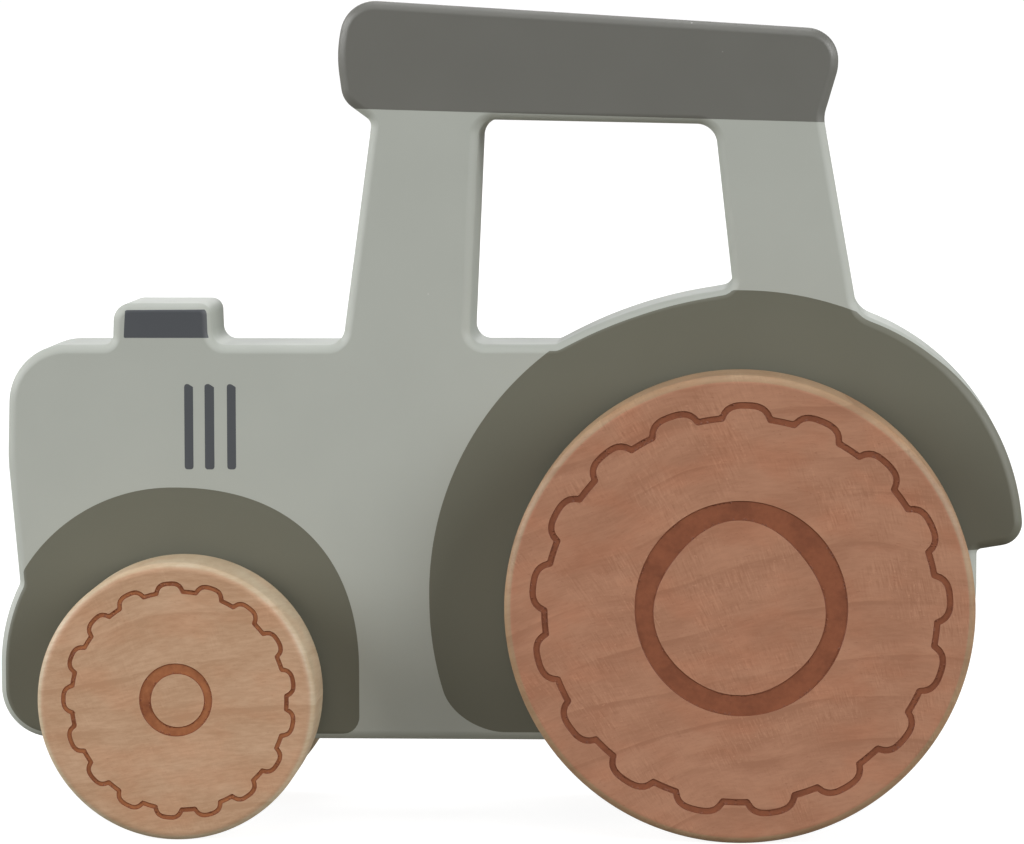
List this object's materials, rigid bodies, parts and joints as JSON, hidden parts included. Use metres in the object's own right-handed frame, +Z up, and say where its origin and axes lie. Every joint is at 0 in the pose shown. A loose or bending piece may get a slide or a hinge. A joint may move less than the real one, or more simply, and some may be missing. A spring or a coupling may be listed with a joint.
{
  "type": "wooden toy tractor",
  "caption": "Push-along wooden toy tractor: a painted slab body with a grip window rolls on solid engraved wheels fixed to dowel axles.",
  "frame": {"origin": "on the ground, under the middle of the tractor's length and width", "axes": "+X towards the rear (the nose points along -X), +Y towards the tractor's right, along the axles, +Z up"},
  "size_m": [0.16, 0.053, 0.129],
  "materials": {
    "painted_wood": "satin",
    "maple": "satin",
    "stained_maple": "satin",
    "beech_dowel": "satin"
  },
  "bodies": {
    "tractor_body": {"body": "painted_wood"},
    "front_wheelset": {"front_axle": "beech_dowel", "front_left_wheel": "maple", "front_right_wheel": "maple"},
    "rear_wheelset": {"rear_axle": "beech_dowel", "rear_left_wheel": "stained_maple", "rear_right_wheel": "stained_maple"}
  },
  "joints": [
    {"name": "front_wheels_spin", "type": "hinge", "parent": "tractor_body", "child": "front_wheelset", "pos_m": [-0.0503, 0, 0.0215], "axis": [0, -1, 0], "continuous": true},
    {"name": "rear_wheels_spin", "type": "hinge", "parent": "tractor_body", "child": "rear_wheelset", "pos_m": [0.0363, 0, 0.036], "axis": [0, -1, 0], "continuous": true}
  ]
}
